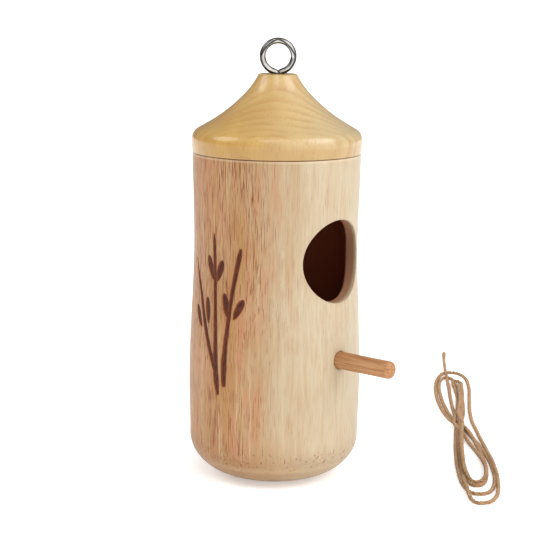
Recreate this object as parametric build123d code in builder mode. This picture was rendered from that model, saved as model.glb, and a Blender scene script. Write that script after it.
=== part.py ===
from build123d import *
import os
from math import atan2, cos, degrees, pi, radians, sin, sqrt, tan

# Turned wooden birdhouse: a blind-bored body with a waist, a plug lid with a screw eye to hang it
# by, a perch below the round entrance, and a hank of thin cord laid beside it.
# Millimetres, +Z up. The origin is the middle of the flat base, on the turning axis. The entrance
# and the perch face -Y.

os.makedirs("parts", exist_ok=True)

# ---- driving dimensions -------------------------------------------------------------------------

# Body: flat base, elliptical foot, belly, waist, and the rim that carries the lid
BASE_R = 11.6
FOOT_ROUND_R = 19.7
FOOT_ROUND_H = 15.2
FOOT_R = BASE_R + FOOT_ROUND_R
BELLY_R, BELLY_Z = 31.7, 34.0
WAIST_R, WAIST_Z = 30.1, 88.0
RIM_R, RIM_Z = 30.7, 120.3
RIM_ROUND = 0.5

# Nest chamber, bored from the top
BORE_R = 25.5
CHAMBER_FLOOR_Z = 14.0
CHAMBER_CORNER_R = 3.0

# Entrance and perch
ENTRANCE_R = 15.0
ENTRANCE_Z = 83.4
PERCH_R = 3.2
PERCH_Z = 47.5
PERCH_INNER_Y = -26.0
PERCH_TIP_Y = -55.0
PERCH_TIP_ROUND = 1.6

# Lid: rounded rim, hollow flare, small flat top, and a plug that fits the bore
LID_H = 28.4
LID_UNDERSIDE_R = 30.9
LID_R, LID_WIDEST_H = 31.2, 4.6
LID_EDGE_FLARE = 0.12
SHOULDER_R = 4.6
SHOULDER_TURN = 61.0
FLARE_R, FLARE_H = 17.6, 16.0
NECK_R = 7.0
NECK_SLOPE = (-0.45, 0.89)
TOP_ROUND = 0.6
PLUG_R = 25.3
PLUG_H = 7.0
PLUG_CHAMFER = 0.8

# Screw eye
WIRE_R = 1.12
EYE_R = 5.6
EYE_Z = RIM_Z + 34.7
EYE_BEND_R = 2.4
EYE_END_TURN = 28.0
EYE_FACING = -48.8
THREAD_TOP_Z = RIM_Z + 24.0
THREAD_CORE_R = 0.85
THREAD_CREST_R = 1.15
THREAD_PITCH = 1.2
THREAD_TURNS = 9
POINT_H = 2.0
PILOT_R = 0.9
PILOT_SPARE = 0.8

# Hanging cord: a flat figure-of-eight hank on the ground, and the tail that leaves its far end
CORD_R = 0.6
HANK_CENTRE = (96.5, -20.0)
HANK_HEADING = 40.0
HANK_H = 4.0
HANK_ROUND = 1.2
FAR_LOOP_AT, FAR_LOOP_L, FAR_LOOP_W = 66.0, 68.0, 18.0
NEAR_LOOP_AT, NEAR_LOOP_L, NEAR_LOOP_W = -51.0, 98.0, 19.0
HANK_NECK_AT, HANK_NECK_L, HANK_NECK_W = 18.0, 70.0, 9.0
TAIL_ROUTE = [(94.0, 0.4), (104.0, 0.1), (115.0, -0.4), (126.0, -1.0), (137.0, -1.8)]
ARC_SHARE = 0.45

axis_section = Plane.XZ
eye_plane = Plane(
    origin=(0, 0, 0),
    x_dir=(cos(radians(EYE_FACING)), sin(radians(EYE_FACING)), 0),
    z_dir=(sin(radians(EYE_FACING)), -cos(radians(EYE_FACING)), 0),
)
hank_plane = Plane(
    origin=(*HANK_CENTRE, 0),
    x_dir=(cos(radians(HANK_HEADING)), sin(radians(HANK_HEADING)), 0),
    z_dir=(0, 0, 1),
)


# ---- house body ---------------------------------------------------------------------------------

def circles_at(part, z):
    """The part's circular edges at the height z."""
    rings = part.edges().filter_by(GeomType.CIRCLE)
    return rings.filter_by(lambda ring: abs(ring.arc_center.Z - z) < 0.01)


with BuildPart() as house_body:
    with BuildSketch(axis_section):
        with BuildLine():
            Line((0, 0), (BASE_R, 0))
            EllipticalCenterArc(
                (BASE_R, FOOT_ROUND_H), FOOT_ROUND_R, FOOT_ROUND_H, start_angle=-90, arc_size=90
            )
            Spline(
                (FOOT_R, FOOT_ROUND_H), (BELLY_R, BELLY_Z), (WAIST_R, WAIST_Z), (RIM_R, RIM_Z),
                tangents=[(0, 1), (0, 1)],
            )
            Polyline((RIM_R, RIM_Z), (0, RIM_Z), (0, 0))
        make_face()
    revolve(axis=Axis.Z)
    with Locations((0, 0, RIM_Z)):
        Hole(radius=BORE_R, depth=RIM_Z - CHAMBER_FLOOR_Z)
    fillet(circles_at(house_body, RIM_Z), radius=RIM_ROUND)
    fillet(circles_at(house_body, CHAMBER_FLOOR_Z), radius=CHAMBER_CORNER_R)
    with BuildSketch(axis_section.offset(BORE_R / 2)):
        with Locations((0, ENTRANCE_Z)):
            Circle(ENTRANCE_R)
        with Locations((0, PERCH_Z)):
            Circle(PERCH_R)
    extrude(amount=BELLY_R, mode=Mode.SUBTRACT)
house_body.part.label = "house_body"
export_step(house_body.part, "parts/house_body.step")


# ---- perch --------------------------------------------------------------------------------------

with BuildPart() as perch:
    with BuildSketch(axis_section.offset(-PERCH_INNER_Y)):
        with Locations((0, PERCH_Z)):
            Circle(PERCH_R)
    extrude(amount=PERCH_INNER_Y - PERCH_TIP_Y)
    fillet(perch.edges().group_by(Axis.Y)[0], radius=PERCH_TIP_ROUND)
perch.part.label = "perch"
export_step(perch.part, "parts/perch.step")


# ---- lid ----------------------------------------------------------------------------------------

pilot_bottom_z = THREAD_TOP_Z - THREAD_TURNS * THREAD_PITCH - POINT_H - PILOT_SPARE

with BuildPart() as lid:
    with BuildSketch(axis_section):
        with BuildLine():
            Polyline(
                (0, RIM_Z + LID_H), (0, RIM_Z - PLUG_H), (PLUG_R, RIM_Z - PLUG_H),
                (PLUG_R, RIM_Z), (LID_UNDERSIDE_R, RIM_Z),
            )
            Spline(
                (LID_UNDERSIDE_R, RIM_Z), (LID_R, RIM_Z + LID_WIDEST_H),
                tangents=[(LID_EDGE_FLARE, 1), (0, 1)],
            )
            shoulder = JernArc(
                start=(LID_R, RIM_Z + LID_WIDEST_H), tangent=(0, 1),
                radius=SHOULDER_R, arc_size=SHOULDER_TURN,
            )
            Spline(
                shoulder @ 1, (FLARE_R, RIM_Z + FLARE_H), (NECK_R, RIM_Z + LID_H),
                tangents=[shoulder % 1, NECK_SLOPE],
            )
            Line((NECK_R, RIM_Z + LID_H), (0, RIM_Z + LID_H))
        make_face()
    revolve(axis=Axis.Z)
    fillet(circles_at(lid, RIM_Z + LID_H), radius=TOP_ROUND)
    fillet(circles_at(lid, RIM_Z).sort_by(SortBy.RADIUS)[-1], radius=RIM_ROUND)
    chamfer(circles_at(lid, RIM_Z - PLUG_H), length=PLUG_CHAMFER)
    with Locations((0, 0, RIM_Z + LID_H)):
        Hole(radius=PILOT_R, depth=RIM_Z + LID_H - pilot_bottom_z)
lid.part.label = "lid"
export_step(lid.part, "parts/lid.step")


# ---- screw eye ----------------------------------------------------------------------------------

# The wire rises out of the lid, bends aside, and runs round the eye until it meets its own shank.
# The bend touches both the shank's line and the eye's circle, which places its centre.
bend_drop = sqrt((EYE_R + EYE_BEND_R) ** 2 - EYE_BEND_R ** 2)
bend_z = EYE_Z - bend_drop
bend_turn = degrees(atan2(bend_drop, EYE_BEND_R))

with BuildPart() as screw_eye:
    with BuildLine(eye_plane) as wire_line:
        Line((0, THREAD_TOP_Z), (0, bend_z))
        CenterArc((-EYE_BEND_R, bend_z), EYE_BEND_R, 0, bend_turn)
        CenterArc((0, EYE_Z), EYE_R, 180 + bend_turn, -180 - 2 * bend_turn)
    with BuildSketch(Plane.XY.offset(THREAD_TOP_Z)):
        Circle(WIRE_R)
    sweep()
    with BuildLine(eye_plane) as wire_end:
        CenterArc((EYE_BEND_R, bend_z), EYE_BEND_R, 180 - bend_turn, EYE_END_TURN)
    with BuildSketch(Plane(origin=wire_end.line @ 0, z_dir=wire_end.line % 0)):
        Circle(WIRE_R)
    sweep()
    with BuildSketch(axis_section):
        with BuildLine():
            z = THREAD_TOP_Z
            points = [(0, z), (THREAD_CORE_R, z)]
            for turn in range(THREAD_TURNS):
                points.append((THREAD_CREST_R, z - THREAD_PITCH / 2))
                z = z - THREAD_PITCH
                points.append((THREAD_CORE_R, z))
            Polyline(*points, (0, z - POINT_H), close=True)
        make_face()
    revolve(axis=Axis.Z)
screw_eye.part.label = "screw_eye"
export_step(screw_eye.part, "parts/screw_eye.step")


# ---- hanging cord -------------------------------------------------------------------------------

def tangent_arc_radii(route):
    """The radius at each corner: a share of its shorter run over the tangent of half the turn."""
    radii = []
    for before, corner, after in zip(route, route[1:], route[2:]):
        run_in = Vector(corner) - Vector(before)
        run_out = Vector(after) - Vector(corner)
        half_turn = radians(run_in.get_angle(run_out)) / 2
        radii.append(ARC_SHARE * min(run_in.length, run_out.length) / tan(half_turn))
    return radii


with BuildPart() as cord_hank:
    with BuildSketch(hank_plane):
        with Locations((FAR_LOOP_AT, 0)):
            Ellipse(FAR_LOOP_L / 2, FAR_LOOP_W / 2)
        with Locations((NEAR_LOOP_AT, 0)):
            Ellipse(NEAR_LOOP_L / 2, NEAR_LOOP_W / 2)
        with Locations((HANK_NECK_AT, 0)):
            Rectangle(HANK_NECK_L, HANK_NECK_W)
    extrude(amount=HANK_H)
    fillet(cord_hank.edges().group_by(Axis.Z)[-1], radius=HANK_ROUND)
cord_hank.part.label = "cord_hank"
export_step(cord_hank.part, "parts/cord_hank.step")

tail_radii = tangent_arc_radii(TAIL_ROUTE)
with BuildPart() as cord_tail:
    with BuildLine(hank_plane.offset(CORD_R)) as tail_line:
        FilletPolyline(*TAIL_ROUTE, radius=tail_radii)
    with BuildSketch(Plane(origin=tail_line.line @ 0, z_dir=tail_line.line % 0)):
        Circle(CORD_R)
    sweep()
    tube_volume = cord_tail.part.volume
    add(cord_hank.part, mode=Mode.SUBTRACT)
cord_tail.part.label = "cord_tail"
export_step(cord_tail.part, "parts/cord_tail.step")

print("tail bend radii:", [round(radius, 1) for radius in tail_radii])
tail_length = sum(edge.length for edge in tail_line.line.edges())
print("tail tube volume:", round(tube_volume, 2))
print("section times length:", round(pi * CORD_R ** 2 * tail_length, 2))
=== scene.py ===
from math import cos, pi, radians, sin, sqrt, tau

import bpy
import numpy as np
from mathutils import Matrix, Vector


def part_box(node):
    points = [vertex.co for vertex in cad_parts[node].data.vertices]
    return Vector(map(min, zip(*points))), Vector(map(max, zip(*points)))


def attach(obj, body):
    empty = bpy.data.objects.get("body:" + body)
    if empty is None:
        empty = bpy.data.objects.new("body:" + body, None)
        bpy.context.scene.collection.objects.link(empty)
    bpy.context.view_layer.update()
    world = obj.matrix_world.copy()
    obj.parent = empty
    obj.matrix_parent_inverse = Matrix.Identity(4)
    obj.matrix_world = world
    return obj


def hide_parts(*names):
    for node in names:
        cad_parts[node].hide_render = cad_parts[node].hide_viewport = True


# The looks of the turned birdhouse. Meshes are worked out in millimetres, in the CAD frame: +Z up,
# the entrance and the perch towards -Y, and the burned sprig on the -X side.

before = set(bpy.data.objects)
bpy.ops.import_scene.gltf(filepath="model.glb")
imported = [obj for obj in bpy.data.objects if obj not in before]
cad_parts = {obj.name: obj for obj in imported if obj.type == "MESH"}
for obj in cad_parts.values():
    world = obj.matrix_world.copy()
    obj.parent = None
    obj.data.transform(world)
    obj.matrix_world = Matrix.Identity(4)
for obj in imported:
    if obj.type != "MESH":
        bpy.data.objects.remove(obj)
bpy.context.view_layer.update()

MM = 0.001


def node_box(node):
    """A CAD node's lowest and highest corners, in millimetres."""
    low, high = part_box(node)
    return np.array(low) / MM, np.array(high) / MM


# ---- sizes ----

_, body_high = node_box("house_body")
lid_low, lid_high = node_box("lid")
eye_low, _ = node_box("screw_eye")
perch_low, perch_high = node_box("perch")

# Body of revolution: flat base, elliptical foot, belly, waist and rim
RIM_Z = body_high[2]
BASE_R = 11.6
FOOT_ROUND_R, FOOT_ROUND_H = 19.7, 15.2
WAIST_R = 30.1
WALL_PROFILE = [(FOOT_ROUND_H, BASE_R + FOOT_ROUND_R), (34.0, 31.7), (88.0, WAIST_R), (RIM_Z, 30.7)]
RIM_ROUND = 0.35
BORE_R = 25.5
CHAMBER_FLOOR_Z = 14.0
CHAMBER_CORNER_R = 3.0
ENTRANCE_R, ENTRANCE_Z = 15.0, 83.4
HOLE_EDGE_ROUND = 0.45
PERCH_GAP = 0.06

# Perch
PERCH_R = (perch_high[0] - perch_low[0]) / 2
PERCH_Z = (perch_high[2] + perch_low[2]) / 2
PERCH_INNER_Y, PERCH_TIP_Y = perch_high[1], perch_low[1]
PERCH_TIP_ROUND = 1.6
PERCH_END_CHAMFER = 0.25

# Lid
LID_TOP_Z = lid_high[2]
PLUG_BOTTOM_Z = lid_low[2]
LID_R = lid_high[0]
LID_UNDERSIDE_R = 30.9
LID_WIDEST_H = 4.6
SHOULDER_R, SHOULDER_TURN = 4.6, 61.0
FLARE_R, FLARE_H = 17.6, 16.0
FLARE_SLOPE = (-0.77, 0.64)
RIM_LEAN = (0.12, 1)
NECK_R = 7.25
NECK_SLOPE = (-0.45, 0.89)
TOP_ROUND = 0.6
TOP_ROUND_INSET = 0.1
PLUG_R = 25.3
PLUG_CHAMFER = 0.8
PLUG_EDGE_ROUND = 0.3

# Screw eye
WIRE_R = 1.12
EYE_R = 5.6
EYE_Z = RIM_Z + 34.7
EYE_BEND_R = 2.4
EYE_END_TURN = 28.0
EYE_FACING = -48.8
THREAD_TOP_Z = RIM_Z + 24.0
THREAD_CORE_R, THREAD_CREST_R = 0.85, 1.15
THREAD_PITCH = 1.2
POINT_H = 2.0

# Burned sprig, drawn flat as (towards the entrance, up). Each stem has points and half widths along
# it, and each leaf has a tip, a base and a half width.
BURN_DEPTH = 0.3
BURN_EDGE = (0.12, -0.35)
SPRIG_MAX_X = -15.0
FAR_OFF = 9.0
STEMS = [
    ([(-2.9, 93.0), (-2.9, 90.3), (-2.5, 82.7), (-1.8, 69.0), (-1.0, 55.8), (-0.8, 46.0),
      (-0.1, 40.0), (0.6, 35.6)],
     [0.25, 0.85, 0.85, 0.85, 0.95, 1.2, 1.35, 0.7]),
    ([(-14.5, 82.6), (-12.2, 76.0), (-10.0, 70.4), (-7.6, 61.5), (-5.2, 54.5), (-2.8, 48.4),
      (-1.0, 44.0)],
     [0.25, 0.65, 0.85, 0.95, 0.95, 0.95, 0.9]),
    ([(8.7, 88.2), (8.3, 86.2), (7.2, 80.7), (5.9, 73.8), (5.0, 67.0), (4.2, 59.0), (3.5, 53.0),
      (3.3, 45.0), (3.3, 39.2)],
     [0.6, 0.95, 0.95, 0.9, 0.85, 0.9, 1.0, 1.25, 0.95]),
]
LEAVES = [
    ((-5.9, 85.0), (-3.1, 76.6), 1.35),
    ((1.3, 83.9), (-1.0, 76.2), 1.45),
    ((-6.0, 69.8), (-5.0, 60.2), 1.25),
    ((-12.7, 66.0), (-9.2, 58.2), 1.2),
    ((2.4, 72.3), (4.3, 63.2), 1.35),
    ((10.2, 70.6), (6.6, 63.1), 1.4),
]

# Hanging cord, as in part.py
CORD_R = 0.6
HANK_CENTRE = (96.5, -20.0)
HANK_HEADING = 40.0
TAIL_ROUTE = [(94.0, 0.4), (104.0, 0.1), (115.0, -0.4), (126.0, -1.0), (137.0, -1.8)]


# ---- mesh helpers ----

def closed(grid):
    """The grid with its first column again at the end."""
    return np.concatenate([grid, grid[:, :1]], axis=1)


def unit(vectors):
    return vectors / np.linalg.norm(vectors, axis=-1, keepdims=True)


def run_along(path):
    """How far along a path each of its points is."""
    return np.concatenate([[0], np.cumsum(np.linalg.norm(np.diff(path, axis=0), axis=1))])


def resampled(points, known_at, at):
    """Points in between the given ones, which are known at these places."""
    return np.stack([np.interp(at, known_at, values) for values in np.asarray(points).T], -1)


class Skin:
    """The points and faces of one mesh, gathered from grids of points."""

    def __init__(self):
        self.points = []
        self.faces = []
        self.count = 0

    def add(self, points):
        """Adds points of any grid shape, and gives their numbers in the same shape."""
        points = np.asarray(points, dtype=float)
        flat = points.reshape(-1, 3)
        numbers = np.arange(self.count, self.count + len(flat))
        self.points.append(flat)
        self.count += len(flat)
        return numbers.reshape(points.shape[:-1])

    def quads(self, grid, keep=None):
        """Joins neighbouring rows and columns of a grid of point numbers."""
        corners = np.stack([grid[:-1, :-1], grid[:-1, 1:], grid[1:, 1:], grid[1:, :-1]], axis=-1)
        if keep is not None:
            corners = corners[keep]
        self.faces.extend(corners.reshape(-1, 4).tolist())

    def ring(self, grid):
        """Joins rows whose columns close on themselves."""
        self.quads(closed(grid))

    def tube(self, grid, first_centre, last_centre):
        """Adds round rows of points, joins them and closes both ends onto a point."""
        numbers = self.add(grid)
        self.ring(numbers)
        self.fan(numbers[0][::-1], first_centre)
        self.fan(numbers[-1], last_centre)

    def fan(self, row, centre):
        """Closes a round row onto one point."""
        hub = int(self.add([centre])[0])
        for here, after in zip(row, np.roll(row, -1)):
            self.faces.append([int(here), int(after), hub])

    def build(self, name, fields=None):
        """The finished object: loose points dropped, normals outward, smooth shaded."""
        points = np.concatenate(self.points)
        used = np.unique(np.concatenate([np.asarray(face) for face in self.faces]))
        place = np.full(len(points), -1)
        place[used] = np.arange(len(used))
        faces = [[int(place[corner]) for corner in face] for face in self.faces]
        mesh = bpy.data.meshes.new(name)
        mesh.from_pydata((points[used] * MM).tolist(), [], faces)
        for field, values in (fields or {}).items():
            layer = mesh.attributes.new(field, "FLOAT", "POINT")
            layer.data.foreach_set("value", np.asarray(values, dtype=np.float32)[used])
        mesh.validate()
        mesh.shade_smooth()
        made = bpy.data.objects.new(name, mesh)
        bpy.context.scene.collection.objects.link(made)
        return made


def clamped_spline(knots, values, at):
    """A smooth curve through the values, level at both ends."""
    knots, values = np.asarray(knots, float), np.asarray(values, float)
    gap = np.diff(knots)
    system = np.zeros((len(knots), len(knots)))
    right = np.zeros(len(knots))
    system[0, 0] = system[-1, -1] = 1.0
    for i in range(1, len(knots) - 1):
        system[i, i - 1:i + 2] = [1 / gap[i - 1], 2 / gap[i - 1] + 2 / gap[i], 1 / gap[i]]
        right[i] = 3 * ((values[i] - values[i - 1]) / gap[i - 1] ** 2
                        + (values[i + 1] - values[i]) / gap[i] ** 2)
    slope = np.linalg.solve(system, right)
    at = np.asarray(at, float)
    i = np.clip(np.searchsorted(knots, at) - 1, 0, len(gap) - 1)
    t = (at - knots[i]) / gap[i]
    return ((1 + 2 * t) * (1 - t) ** 2 * values[i] + t * (1 - t) ** 2 * gap[i] * slope[i]
            + t * t * (3 - 2 * t) * values[i + 1] + t * t * (t - 1) * gap[i] * slope[i + 1])


def hermite(start, end, leave, arrive, steps):
    """Points of a smooth curve between two points, with a direction at each."""
    start, end = np.asarray(start, float), np.asarray(end, float)
    span = np.linalg.norm(end - start)
    leave = np.asarray(leave, float) / np.linalg.norm(leave) * span
    arrive = np.asarray(arrive, float) / np.linalg.norm(arrive) * span
    t = np.linspace(0, 1, steps)[:, None]
    return ((2 * t ** 3 - 3 * t ** 2 + 1) * start + (t ** 3 - 2 * t ** 2 + t) * leave
            + (3 * t ** 2 - 2 * t ** 3) * end + (t ** 3 - t ** 2) * arrive)


def arc(centre, radius, first, last, steps):
    """Points of a circular arc in a plane, angles in degrees."""
    turn = np.radians(np.linspace(first, last, steps))
    return np.stack([centre[0] + radius * np.cos(turn), centre[1] + radius * np.sin(turn)], axis=-1)


def turned(profile, columns):
    """A profile of (radius, height) turned about the Z axis. Column angles start at -Y."""
    profile = np.asarray(profile, float)
    radius, height = profile[:, :1], profile[:, 1:]
    around = np.asarray(columns)[None, :]
    return np.stack([radius * np.sin(around), -radius * np.cos(around),
                     height + 0 * around], axis=-1)


def smooth_step(low, high, value):
    t = np.clip((value - low) / (high - low), 0, 1)
    return t * t * (3 - 2 * t)


# ---- house body ----

def wall_radius(z):
    heights, radii = zip(*WALL_PROFILE)
    return clamped_spline(heights, radii, z)


def stem_distance(across, up, points, half_widths):
    """Distance to a tapering stroke, negative inside it."""
    order = np.linspace(0, 1, len(points))
    fine = np.linspace(0, 1, 25)
    path = resampled(points, order, fine)
    for _ in range(3):
        path[1:-1] = (path[:-2] + 2 * path[1:-1] + path[2:]) / 4
    width = np.interp(fine, order, half_widths)
    nearest = np.full(across.shape, 1e3)
    for start, end, first, last in zip(path, path[1:], width, width[1:]):
        run = end - start
        t = ((across - start[0]) * run[0] + (up - start[1]) * run[1]) / (run @ run)
        t = np.clip(t, 0, 1)
        gap = np.hypot(across - start[0] - t * run[0], up - start[1] - t * run[1])
        nearest = np.minimum(nearest, gap - (first + (last - first) * t))
    return nearest


def leaf_distance(across, up, tip, base, half_width):
    """Rough distance to a leaf that is blunt at its tip and pointed at its base."""
    tip, base = np.asarray(tip), np.asarray(base)
    along = (tip - base) / np.linalg.norm(tip - base)
    middle, half_length = (tip + base) / 2, np.linalg.norm(tip - base) / 2
    t = (across - middle[0]) * along[0] + (up - middle[1]) * along[1]
    side = (across - middle[0]) * along[1] - (up - middle[1]) * along[0]
    share = np.clip(t / half_length, -1, 1)
    width = half_width * np.sqrt(1 - share ** 2) * (1 + 0.22 * share)
    beyond = np.maximum(np.abs(t) - half_length, 0)
    return np.hypot(np.maximum(np.abs(side) - width, 0), beyond) + np.minimum(np.abs(side) - width, 0)


def sprig_distance(points):
    """Distance from each point of the outer wall to the burned sprig, or FAR_OFF."""
    across, up = -points[..., 1], points[..., 2]
    near = np.full(across.shape, FAR_OFF)
    for path, half_widths in STEMS:
        near = np.minimum(near, stem_distance(across, up, path, half_widths))
    for tip, base, half_width in LEAVES:
        near = np.minimum(near, leaf_distance(across, up, tip, base, half_width))
    return np.where(points[..., 0] < SPRIG_MAX_X, near, FAR_OFF)


def rows_between(low, high, step):
    return np.linspace(low, high, max(2, int(round((high - low) / step)) + 1))


def perimeter(rows, cols):
    """Row and column numbers once round the edge of a block of the grid, anticlockwise."""
    (top, bottom), (left, right) = rows, cols
    edge = [(top, c) for c in range(left, right)]
    edge += [(r, right) for r in range(top, bottom)]
    edge += [(bottom, c) for c in range(right, left, -1)]
    edge += [(r, left) for r in range(bottom, top, -1)]
    return np.array(edge)


# The body's columns, as (from, to, step) in degrees, and how finely its outer wall's rows are set.
# Both are close together only where the sprig's edges need them.
COLUMN_RUNS = [(-180, -124, 1.4), (-124, -64, 0.5), (-64, -44, 1.25), (-44, 44, 1.1), (44, 180, 1.4)]
SPRIG_ROWS_Z = (32.5, 96.0)
LOW_STEP, SPRIG_STEP, HIGH_STEP = 0.62, 0.3, 0.6

# Each hole's height and radius, and how far round it the wall's mesh is fitted to it
HOLES = [(ENTRANCE_Z, ENTRANCE_R, 6.5), (PERCH_Z, PERCH_R + PERCH_GAP, 2.6)]


def wall_rows():
    """Heights of the rows that the outer wall and the bore share."""
    sprig_low, sprig_high = SPRIG_ROWS_Z
    return np.unique(np.round(np.concatenate([
        rows_between(CHAMBER_FLOOR_Z + CHAMBER_CORNER_R, sprig_low, LOW_STEP),
        rows_between(sprig_low, sprig_high, SPRIG_STEP),
        rows_between(sprig_high, RIM_Z - RIM_ROUND, HIGH_STEP),
    ]), 4))


def foot_profile(wall_start):
    """The flat base, the foot's rounding and the wall up to the first shared row."""
    base = [(r, 0.0) for r in np.linspace(0.6, BASE_R, 12)[:-1]]
    foot = arc((0, 0), 1, -90, 0, 40) * [FOOT_ROUND_R, FOOT_ROUND_H] + [BASE_R, FOOT_ROUND_H]
    lead_in = rows_between(FOOT_ROUND_H, wall_start, HIGH_STEP)[1:-1]
    return np.concatenate([base, foot, np.stack([wall_radius(lead_in), lead_in], -1)])


def rim_profile():
    """Over the rim, from the outer wall to the bore."""
    rim_r = float(wall_radius(RIM_Z))
    centre_z = RIM_Z - RIM_ROUND
    return np.concatenate([arc((rim_r - RIM_ROUND, centre_z), RIM_ROUND, 15, 90, 6),
                           arc((BORE_R + RIM_ROUND, centre_z), RIM_ROUND, 90, 165, 6)])


def chamber_floor_profile():
    """Round the chamber's lower corner and in to the middle of its floor."""
    flat_r = BORE_R - CHAMBER_CORNER_R
    corner = arc((flat_r, CHAMBER_FLOOR_Z + CHAMBER_CORNER_R), CHAMBER_CORNER_R, -9, -90, 10)
    return np.concatenate([corner, [(r, CHAMBER_FLOOR_Z) for r in np.linspace(flat_r, 0.8, 14)[1:]]])


def burned_wall(wall_z, columns):
    """The outer wall's grid of points, sunk where the sprig is burned in."""
    outer = turned(np.stack([wall_radius(wall_z), wall_z], -1), columns)
    sink = BURN_DEPTH * smooth_step(*BURN_EDGE, sprig_distance(outer))
    return outer - unit(outer * [1, 1, 0]) * sink[..., None]


def hole_block(hole, wall_z, columns):
    """The rows and columns of the block of the wall's grid that a hole takes the place of."""
    middle_z, radius, reach = hole
    rows = (int(np.searchsorted(wall_z, middle_z - radius - reach)),
            int(np.searchsorted(wall_z, middle_z + radius + reach)))
    side = np.arcsin(radius / WAIST_R) + reach / WAIST_R
    return rows, (int(np.searchsorted(columns, -side)), int(np.searchsorted(columns, side)))


def hole_rounds(hole, edge_angle, edge_z):
    """Round rows of points through a hole, from near the block's edge outside to the same inside."""
    middle_z, radius, _ = hole
    around = np.arctan2(edge_z - middle_z, edge_angle * WAIST_R)

    def on_wall(share, grow, depth, inner=False):
        """One round row: share 0 at the hole's edge, 1 at the block's; depth is into the wall."""
        x = (radius + grow) * np.cos(around)
        z = middle_z + (radius + grow) * np.sin(around)
        wall = BORE_R + 0 * z if inner else wall_radius(z)
        angle = np.arcsin(x / wall)
        angle = angle + (edge_angle - angle) * share
        z = z + (edge_z - z) * share
        wall = BORE_R + 0 * z if inner else wall_radius(z)
        return np.stack([wall * np.sin(angle), -wall * np.cos(angle) + depth, z], -1)

    spread = np.linspace(1, 0, 15)[1:] ** 1.4
    outer_near = [on_wall(share, HOLE_EDGE_ROUND, 0) for share in spread]
    outer_lip = [on_wall(0, HOLE_EDGE_ROUND * (1 - sin(a)), HOLE_EDGE_ROUND * (1 - cos(a)))
                 for a in np.linspace(0, pi / 2, 6)[1:]]
    inner_bevel = [on_wall(0, HOLE_EDGE_ROUND * sin(a), HOLE_EDGE_ROUND * (sin(a) - 1), inner=True)
                   for a in np.linspace(0, pi / 2, 4)]
    gap = inner_bevel[0] - outer_lip[-1]
    through = [outer_lip[-1] + gap * share for share in np.linspace(0, 1, 9)[1:]]
    inner_far = [on_wall(share, HOLE_EDGE_ROUND, 0, inner=True) for share in spread[::-1][1:]]
    return np.stack(outer_near + outer_lip + through + inner_bevel[1:] + inner_far)


def make_body():
    """The turned body as one closed skin, with both round holes cut through its wall."""
    skin = Skin()
    columns = np.radians(np.concatenate([np.arange(*run) for run in COLUMN_RUNS]))
    wall_z = wall_rows()
    below = skin.add(turned(foot_profile(wall_z[0]), columns))
    outer = skin.add(burned_wall(wall_z, columns))
    rim = skin.add(turned(rim_profile(), columns))
    bore = skin.add(turned(np.stack([0 * wall_z + BORE_R, wall_z], -1)[::-1], columns))
    floor = skin.add(turned(chamber_floor_profile(), columns))

    keep = np.ones((len(wall_z) - 1, len(columns)), bool)
    blocks = [hole_block(hole, wall_z, columns) for hole in HOLES]
    for (first_row, last_row), (first_column, last_column) in blocks:
        keep[first_row:last_row, first_column:last_column] = False
    skin.ring(below)
    skin.quads(closed(outer), keep=keep)
    skin.ring(rim)
    skin.quads(closed(bore), keep=keep[::-1])
    skin.ring(floor)
    for last, first in ((below, outer), (outer, rim), (rim, bore), (bore, floor)):
        skin.quads(closed(np.stack([last[-1], first[0]])))
    skin.fan(below[0][::-1], (0, 0, 0))
    skin.fan(floor[-1], (0, 0, CHAMBER_FLOOR_Z))

    for hole, block in zip(HOLES, blocks):
        edge = perimeter(*block)
        rounds = skin.add(hole_rounds(hole, columns[edge[:, 1]], wall_z[edge[:, 0]]))
        outer_edge = outer[edge[:, 0], edge[:, 1]]
        inner_edge = bore[len(wall_z) - 1 - edge[:, 0], edge[:, 1]]
        skin.ring(np.concatenate([outer_edge[None], rounds, inner_edge[None]]))

    points = np.concatenate(skin.points)
    outside = np.hypot(points[:, 0], points[:, 1]) > BORE_R + 2
    distance = np.where(outside, sprig_distance(points), FAR_OFF)
    return skin.build("birdhouse_body", {"sprig_mm": distance})


# ---- lid ----

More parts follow.
